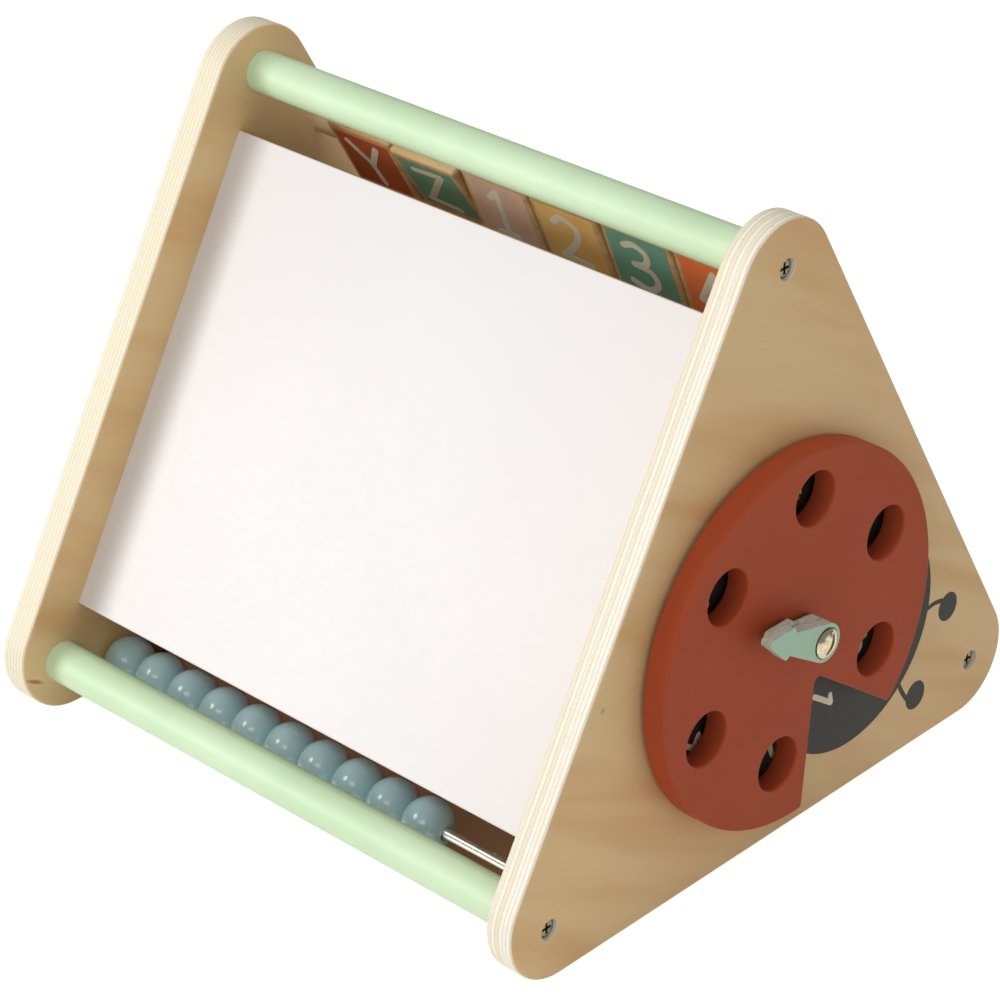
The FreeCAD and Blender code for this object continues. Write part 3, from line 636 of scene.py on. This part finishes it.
def print_outline(mesh, surface, outline, low, high, slot):
    """A closed outline as a slab between two heights over the surface."""
    bottom = [mesh.verts.new(surface.point(x, y, low)) for x, y in outline]
    top = [mesh.verts.new(surface.point(x, y, high)) for x, y in outline]
    count = len(outline)
    faces = [mesh.faces.new(top), mesh.faces.new(list(reversed(bottom)))]
    for i in range(count):
        j = (i + 1) % count
        faces.append(mesh.faces.new((bottom[i], bottom[j], top[j], top[i])))
    for face in faces:
        face.material_index = slot


def arc_points(middle, radius, start, end, steps):
    """Points along an arc, with angles in degrees."""
    points = []
    for i in range(steps + 1):
        angle = math.radians(start + (end - start) * i / steps)
        points.append((middle[0] + radius * math.cos(angle), middle[1] + radius * math.sin(angle)))
    return points


def rounded_square(half, corner):
    """A square with rounded corners."""
    inner = half - corner
    outline = []
    for turn, (x, y) in enumerate([(inner, inner), (-inner, inner), (-inner, -inner), (inner, -inner)]):
        outline += arc_points((x, y), corner, 90 * turn, 90 * turn + 90, CORNER_STEPS)
    return outline


def finish_print(name, mesh, materials, body):
    """Turn a bmesh into a piece that rides on a body of the frame."""
    mesh.normal_update()
    data = bpy.data.meshes.new(name)
    mesh.to_mesh(data)
    mesh.free()
    for material in materials:
        data.materials.append(material)
    piece = bpy.data.objects.new(name, data)
    bpy.context.scene.collection.objects.link(piece)
    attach(piece, body)
    return piece


# %% [markdown]
# ## A brush alphabet
#
# The letters and numbers look drawn with a round brush: even strokes with round ends. A
# typeface would bring someone's design and sharp corners with it. Strokes are simpler: each
# sign is a few lines or curves in a box one unit high, and the brush's width is added when it
# is drawn. A curve passes through its points, and a line turns at them.

# %% The strokes of each sign
LINE = "line"
CURVE = "curve"
ROUND_O = (CURVE, [(0.34, 1.0), (0.08, 0.80), (0.0, 0.5), (0.08, 0.18), (0.34, 0.0), (0.60, 0.18),
                   (0.68, 0.5), (0.60, 0.80), (0.34, 1.0)])
SIGNS = {
    "A": [(LINE, [(0.0, 0.0), (0.34, 1.0), (0.68, 0.0)]), (LINE, [(0.13, 0.34), (0.55, 0.34)])],
    "B": [(LINE, [(0.0, 0.0), (0.0, 1.0)]),
          (CURVE, [(0.0, 1.0), (0.38, 0.96), (0.52, 0.76), (0.36, 0.57), (0.0, 0.53)]),
          (CURVE, [(0.0, 0.53), (0.44, 0.48), (0.62, 0.27), (0.44, 0.05), (0.0, 0.0)])],
    "C": [(CURVE, [(0.62, 0.84), (0.36, 1.0), (0.08, 0.80), (0.0, 0.5), (0.08, 0.18), (0.36, 0.0),
                   (0.62, 0.15)])],
    "D": [(LINE, [(0.0, 0.0), (0.0, 1.0)]),
          (CURVE, [(0.0, 1.0), (0.38, 0.93), (0.62, 0.68), (0.62, 0.34), (0.40, 0.06), (0.0, 0.0)])],
    "E": [(LINE, [(0.56, 1.0), (0.0, 1.0), (0.0, 0.0), (0.56, 0.0)]),
          (LINE, [(0.0, 0.52), (0.46, 0.52)])],
    "F": [(LINE, [(0.56, 1.0), (0.0, 1.0), (0.0, 0.0)]), (LINE, [(0.0, 0.52), (0.46, 0.52)])],
    "G": [(CURVE, [(0.62, 0.84), (0.36, 1.0), (0.08, 0.80), (0.0, 0.5), (0.08, 0.18), (0.36, 0.0),
                   (0.62, 0.14)]),
          (LINE, [(0.62, 0.14), (0.64, 0.46), (0.38, 0.46)])],
    "H": [(LINE, [(0.0, 0.0), (0.0, 1.0)]),
          (LINE, [(0.62, 0.0), (0.62, 1.0)]),
          (LINE, [(0.0, 0.5), (0.62, 0.5)])],
    "I": [(LINE, [(0.0, 0.0), (0.0, 1.0)])],
    "J": [(CURVE, [(0.50, 1.0), (0.50, 0.62), (0.49, 0.26), (0.36, 0.03), (0.13, 0.03),
                   (0.0, 0.24)])],
    "K": [(LINE, [(0.0, 0.0), (0.0, 1.0)]),
          (LINE, [(0.58, 1.0), (0.02, 0.42)]),
          (LINE, [(0.20, 0.60), (0.62, 0.0)])],
    "L": [(LINE, [(0.0, 1.0), (0.0, 0.0), (0.54, 0.0)])],
    "M": [(LINE, [(0.0, 0.0), (0.06, 1.0), (0.40, 0.32), (0.74, 1.0), (0.80, 0.0)])],
    "N": [(LINE, [(0.0, 0.0), (0.0, 1.0), (0.62, 0.0), (0.62, 1.0)])],
    "O": [ROUND_O],
    "P": [(LINE, [(0.0, 0.0), (0.0, 1.0)]),
          (CURVE, [(0.0, 1.0), (0.42, 0.95), (0.58, 0.72), (0.42, 0.49), (0.0, 0.44)])],
    "Q": [ROUND_O, (LINE, [(0.40, 0.26), (0.70, -0.04)])],
    "R": [(LINE, [(0.0, 0.0), (0.0, 1.0)]),
          (CURVE, [(0.0, 1.0), (0.42, 0.95), (0.58, 0.73), (0.42, 0.52), (0.0, 0.47)]),
          (LINE, [(0.26, 0.47), (0.62, 0.0)])],
    "S": [(CURVE, [(0.58, 0.87), (0.30, 1.0), (0.05, 0.82), (0.14, 0.60), (0.44, 0.44),
                   (0.60, 0.22), (0.34, 0.0), (0.0, 0.14)])],
    "T": [(LINE, [(0.0, 1.0), (0.66, 1.0)]), (LINE, [(0.33, 1.0), (0.33, 0.0)])],
    "U": [(CURVE, [(0.0, 1.0), (0.0, 0.40), (0.10, 0.08), (0.32, 0.0), (0.54, 0.08), (0.64, 0.40),
                   (0.64, 1.0)])],
    "V": [(LINE, [(0.0, 1.0), (0.34, 0.0), (0.68, 1.0)])],
    "W": [(LINE, [(0.0, 1.0), (0.20, 0.0), (0.42, 0.68), (0.64, 0.0), (0.84, 1.0)])],
    "X": [(LINE, [(0.0, 1.0), (0.64, 0.0)]), (LINE, [(0.62, 1.0), (0.0, 0.0)])],
    "Y": [(LINE, [(0.0, 0.98), (0.37, 0.48)]), (LINE, [(0.70, 1.0), (0.36, 0.46), (0.42, 0.0)])],
    "Z": [(LINE, [(0.07, 0.95), (0.74, 1.0), (0.0, 0.06), (0.66, 0.0)])],
    "0": [(CURVE, [(0.28, 1.0), (0.06, 0.80), (0.0, 0.5), (0.06, 0.18), (0.28, 0.0), (0.50, 0.18),
                   (0.56, 0.5), (0.50, 0.80), (0.28, 1.0)])],
    "1": [(LINE, [(0.0, 0.78), (0.22, 1.0), (0.20, 0.0)])],
    "1 with foot": [(LINE, [(0.0, 0.82), (0.20, 1.0), (0.16, 0.0)]),
                    (LINE, [(-0.06, 0.0), (0.38, 0.0)])],
    "2": [(CURVE, [(0.02, 0.82), (0.24, 1.0), (0.52, 0.86), (0.50, 0.58), (0.26, 0.28),
                   (0.0, 0.04)]),
          (LINE, [(0.0, 0.04), (0.60, 0.0)])],
    "3": [(CURVE, [(0.04, 0.92), (0.28, 1.0), (0.50, 0.84), (0.42, 0.60), (0.16, 0.53)]),
          (CURVE, [(0.16, 0.53), (0.50, 0.46), (0.58, 0.20), (0.34, 0.0), (0.0, 0.10)])],
    "4": [(LINE, [(0.42, 0.0), (0.42, 1.0), (0.0, 0.30), (0.62, 0.30)])],
    "5": [(LINE, [(0.52, 1.0), (0.08, 1.0), (0.04, 0.56)]),
          (CURVE, [(0.04, 0.56), (0.34, 0.62), (0.56, 0.36), (0.36, 0.02), (0.0, 0.08)])],
    "6": [(CURVE, [(0.44, 1.0), (0.14, 0.70), (0.0, 0.32), (0.14, 0.03), (0.42, 0.03), (0.54, 0.28),
                   (0.38, 0.52), (0.10, 0.44)])],
    "7": [(LINE, [(0.0, 1.0), (0.56, 1.0), (0.18, 0.0)])],
    "8": [(CURVE, [(0.29, 1.0), (0.06, 0.84), (0.14, 0.62), (0.44, 0.44), (0.57, 0.20), (0.29, 0.0),
                   (0.0, 0.20), (0.14, 0.44), (0.42, 0.62), (0.51, 0.84), (0.29, 1.0)])],
    "9": [(CURVE, [(0.50, 0.60), (0.24, 0.46), (0.02, 0.68), (0.16, 0.97), (0.42, 0.95),
                   (0.54, 0.66), (0.44, 0.26), (0.12, 0.0)])],
}
print(len(SIGNS), "signs")


# %% Drawing a sign with a round brush
CURVE_STEPS = 5
CAP_STEPS = 6
BRUSH_STEP = 0.004 * MM     # each stroke lies this much higher than the one before


def smooth_through(points):
    """More points along a smooth curve through the given ones."""
    closed = points[0] == points[-1]
    result = []
    for i in range(len(points) - 1):
        before = points[i - 1] if i > 0 else (points[-2] if closed else points[0])
        start, end = points[i], points[i + 1]
        after = points[i + 2] if i + 2 < len(points) else (points[1] if closed else points[-1])
        for step in range(CURVE_STEPS):
            t = step / CURVE_STEPS
            values = []
            for axis in (0, 1):
                a, b, c, d = before[axis], start[axis], end[axis], after[axis]
                values.append(0.5 * (2 * b + (c - a) * t + (2 * a - 5 * b + 4 * c - d) * t ** 2
                                     + (3 * b - a - 3 * c + d) * t ** 3))
            result.append(tuple(values))
    return result + [points[-1]]


def ribbon(points, width):
    """The outline of a brush stroke along points, with round ends."""
    left, right = [], []
    angles = []
    for i in range(len(points)):
        a = points[max(i - 1, 0)]
        b = points[min(i + 1, len(points) - 1)]
        angle = math.degrees(math.atan2(b[1] - a[1], b[0] - a[0]))
        angles.append(angle)
        side = math.radians(angle + 90)
        x, y = points[i]
        left.append((x + width / 2 * math.cos(side), y + width / 2 * math.sin(side)))
        right.append((x - width / 2 * math.cos(side), y - width / 2 * math.sin(side)))
    end_cap = arc_points(points[-1], width / 2, angles[-1] - 90, angles[-1] + 90, CAP_STEPS)
    start_cap = arc_points(points[0], width / 2, angles[0] + 90, angles[0] + 270, CAP_STEPS)
    return right[1:-1] + end_cap + list(reversed(left[1:-1])) + start_cap


def strokes_of(sign, height):
    """The sign's strokes at real size, each a run of points with no sharp turn, about its own middle."""
    runs = []
    for kind, points in SIGNS[sign]:
        if kind == CURVE:
            runs.append(smooth_through(points))
        else:
            runs += [[points[i], points[i + 1]] for i in range(len(points) - 1)]
    all_x = [x for run in runs for x, y in run]
    middle = (min(all_x) + max(all_x)) / 2
    return [[((x - middle) * height, (y - 0.5) * height) for x, y in run] for run in runs]


def draw_sign(mesh, surface, sign, centre, height, width, base, slot):
    """Draw one letter or number on a surface."""
    for i, run in enumerate(strokes_of(sign, height)):
        moved = [(x + centre[0], y + centre[1]) for x, y in run]
        top = base + INK + i * BRUSH_STEP
        print_outline(mesh, surface, ribbon(moved, width), base - INK_ROOT, top, slot)


# %% [markdown]
# ## Printing inks
#
# Screen ink is thicker and flatter than sprayed paint, and it shows the mesh that it was
# pressed through as a very fine tooth. Over it the cream letters are a second pass. Both are
# given a fine speckle and a little unevenness, as ink on wood has.

# %% Inks
INK_CLOUD_MM = (14.0, 9.0, 9.0)
INK_TOOTH_MM = (0.6, 0.6, 0.6)
INK_RELIEF_MM = 0.02


def make_ink(name, hex_code, darker):
    """Matt screen ink, a little uneven."""
    settings = {"Roughness": 0.55, "IOR": 1.48, "Specular IOR Level": 0.3}
    material, tree, shader, place = start_material(name, settings)
    clouds = grain(tree, place["Object"], INK_CLOUD_MM)
    tooth = grain(tree, place["Object"], INK_TOOTH_MM, Detail=2.0)
    tone = lay_over(tree, colour(hex_code), darker, clouds, 0.35, 0.70, 0.6)
    tone = lay_over(tree, tone, darker, tooth, 0.50, 0.80, 0.4)
    tree.links.new(tone, shader.inputs["Base Color"])
    relief = add(tree, "Bump", {"Height": tooth, "Distance": INK_RELIEF_MM * MM, "Strength": 0.5})
    tree.links.new(relief, shader.inputs["Normal"])
    return material


cream_ink = make_ink("cream_screen_ink", "F6ECD4", "EADDC2")
charcoal_ink = make_ink("charcoal_screen_ink", "2C2B23", "25241C")
FIELD_INKS = [("brick_red", make_ink("brick_red_screen_ink", "CC633A", "BE5833")),
              ("green", make_ink("green_screen_ink", "84B192", "77A484")),
              ("dusty_pink", make_ink("dusty_pink_screen_ink", "F0C8AC", "E3BA9C")),
              ("mustard", make_ink("mustard_screen_ink", "FFCC7C", "F4BE6C")),
              ("teal_green", make_ink("teal_green_screen_ink", "7EB49A", "71A68C")),
              ("orange_red", make_ink("orange_red_screen_ink", "FF8A50", "F47C46"))]
print(len(FIELD_INKS), "field inks, cream and charcoal")

# %% [markdown]
# ## Letter tiles
#
# Each tile has a coloured field with a sign on both of its faces. The signs on the inner faces
# run from A at the lower left to Z and on to 4 at the top, as they are read from the front,
# between the board and the top dowel. The outer faces carry the same sign, upright from behind.

# %% Letter tiles
FIELD_HALF = 14.0 * MM
FIELD_CORNER = 0.9 * MM
SIGN_HEIGHT = 21.5 * MM
SIGN_STROKE = 2.9 * MM
SIGN_SHIFT = (-1.3 * MM, -0.9 * MM)
TILE_SIGNS = ["YZ1234", "STUVWX", "MNOPQR", "GHIJKL", "ABCDEF"]


def tile_surfaces(name):
    """The tile's inner and outer face, as places to print on."""
    axis = joint_place[name]
    outward = flat_normal(name)
    if outward.y < 0:
        outward = -outward
    thickness = 2 * max((vertex.co - axis).dot(outward) for vertex in nodes[name].data.vertices)
    along_rod = Vector((1, 0, 0))
    up = along_rod.cross(-outward)
    up = up if up.z > 0 else -up
    inner = Surface(axis - outward * thickness / 2, along_rod, up)
    outer = Surface(axis + outward * thickness / 2, -along_rod, up)
    return inner, outer


def print_tile(row, column):
    """The coloured fields and signs of one tile."""
    name = "tile_%d_%d" % (row + 1, column + 1)
    ink_name, field_ink = FIELD_INKS[(column + 2 * row) % len(FIELD_INKS)]
    sign = TILE_SIGNS[row][column]
    sign = "1 with foot" if sign == "1" else sign
    mesh = bmesh.new()
    for surface in tile_surfaces(name):
        print_outline(mesh, surface, rounded_square(FIELD_HALF, FIELD_CORNER), -INK_ROOT, INK, 0)
        draw_sign(mesh, surface, sign, SIGN_SHIFT, SIGN_HEIGHT, SIGN_STROKE, INK, 1)
    piece = finish_print(name + "_print", mesh, [field_ink, cream_ink], name)
    return piece


tile_prints = [print_tile(row, column)
               for row, signs in enumerate(TILE_SIGNS) for column in range(len(signs))]
print(len(tile_prints), "tile prints")

# %% [markdown]
# ## The dial and the ladybird's head
#
# Under the red disc the plywood is printed with a charcoal dial, whose twelve numbers show
# through the disc's notch and spots. A second circle makes the head, which peeps out at the
# rear corner, with two feelers. The numbers stand upright when the head is up.

# %% The dial
DIAL_RADIUS = 62.4 * MM
DIAL_HOLE = 9.3 * MM            # leaves the washer behind the disc on bare wood
DIAL_STEPS = 96
HOURS = 12
HEAD_MIDDLE = (43.0 * MM, -24.3 * MM)       # from the disc's centre: towards the rear, and up
HEAD_RADIUS = 45.4 * MM
HEAD_DIRECTION = -30.0          # degrees from the rear direction towards up
NUMBER_UP = -34.0               # likewise, the way up for the numbers
NUMBER_NUDGE = {1: 3.0, 4: 6.5, 6: -5.0, 8: -5.0}       # degrees: the print is not quite even
NUMBER_RING = 51.0 * MM
NUMBER_HEIGHT = 12.0 * MM
NUMBER_STROKE = 2.2 * MM
FIGURE_WIDTH = 0.6              # as a share of its height
NUMBER_SPACING = 0.95           # of two figures, as a share of their width
PIVOT_RISE = 1.4 * MM           # of the hands' axis over the dial's middle
DISC_CENTRE = Vector((RIGHT_FACE_X, 0, PIVOT.z - PIVOT_RISE))
dial_surface = Surface(DISC_CENTRE, Vector((0, 1, 0)), Vector((0, 0, 1)))


def print_ring(mesh, surface, hole, radius, low, high, slot):
    """A flat ring, in segments."""
    for i in range(DIAL_STEPS):
        start, end = 360 * i / DIAL_STEPS, 360 * (i + 1) / DIAL_STEPS
        outer = arc_points((0, 0), radius, start, end, 1)
        inner = arc_points((0, 0), hole, end, start, 1)
        print_outline(mesh, surface, outer + inner, low, high, slot)


def number_surface(hour):
    """Where a number stands on the dial, upright towards the head."""
    up_angle = math.radians(NUMBER_UP)
    up = Vector((0, math.cos(up_angle), math.sin(up_angle)))
    right = up.cross(Vector((1, 0, 0)))
    turn = math.radians(HEAD_DIRECTION - 360 / HOURS * hour + NUMBER_NUDGE.get(hour, 0.0))
    middle = DISC_CENTRE + Vector((0, math.cos(turn), math.sin(turn))) * NUMBER_RING
    return Surface(middle, right, up)


dial = bmesh.new()
print_ring(dial, dial_surface, DIAL_HOLE, DIAL_RADIUS, -INK_ROOT, INK, 0)
spacing = NUMBER_SPACING * NUMBER_HEIGHT * FIGURE_WIDTH
for hour in range(1, HOURS + 1):
    surface = number_surface(hour)
    figures = str(hour)
    for i, figure in enumerate(figures):
        shift = (i - (len(figures) - 1) / 2) * spacing
        draw_sign(dial, surface, figure, (shift, 0.0), NUMBER_HEIGHT, NUMBER_STROKE, INK, 1)
finish_print("dial_print", dial, [charcoal_ink, cream_ink], "frame")
print("dial with", HOURS, "numbers,", round(2 * DIAL_RADIUS / MM), "mm across")

# %% Head and feelers
# each with the points of its stalk, the middle of its tip and the tip's two radii, in mm
FEELERS = [([(86.0, -32.9), (91.0, -32.2), (95.5, -32.8)], (99.8, -37.2), 5.9, 5.5),
           ([(71.6, -57.5), (74.0, -62.2), (77.0, -66.8)], (82.5, -67.8), 5.9, 5.6)]
FEELER_WIDTH = 1.9 * MM
FEELER_TIP_STEPS = 24
HEAD_INK = 0.9                  # its thickness, as a share of the dial's ink
STALK_INK = 0.8                 # each print lies lower, so that no two tops meet in one plane
TIP_INK_DROP = 0.1


def feeler_outlines(stalk, tip, long_radius, short_radius):
    """A feeler's curved stalk and its oval tip, in metres from the disc's centre."""
    points = smooth_through([(y * MM, z * MM) for y, z in stalk])
    oval = []
    for i in range(FEELER_TIP_STEPS):
        angle = 2 * math.pi * i / FEELER_TIP_STEPS
        oval.append((tip[0] * MM + short_radius * MM * math.cos(angle),
                     tip[1] * MM + long_radius * MM * math.sin(angle)))
    return ribbon(points, FEELER_WIDTH), oval


head = bmesh.new()
head_outline = arc_points(HEAD_MIDDLE, HEAD_RADIUS, 0, 360 - 360 / DIAL_STEPS, DIAL_STEPS - 1)
print_outline(head, dial_surface, head_outline, -INK_ROOT, INK * HEAD_INK, 0)
for feeler in FEELERS:
    for i, outline in enumerate(feeler_outlines(*feeler)):
        top = INK * (STALK_INK - TIP_INK_DROP * i)
        print_outline(head, dial_surface, outline, -INK_ROOT, top, 0)
finish_print("head_print", head, [charcoal_ink], "frame")
print("head with", len(FEELERS), "feelers")
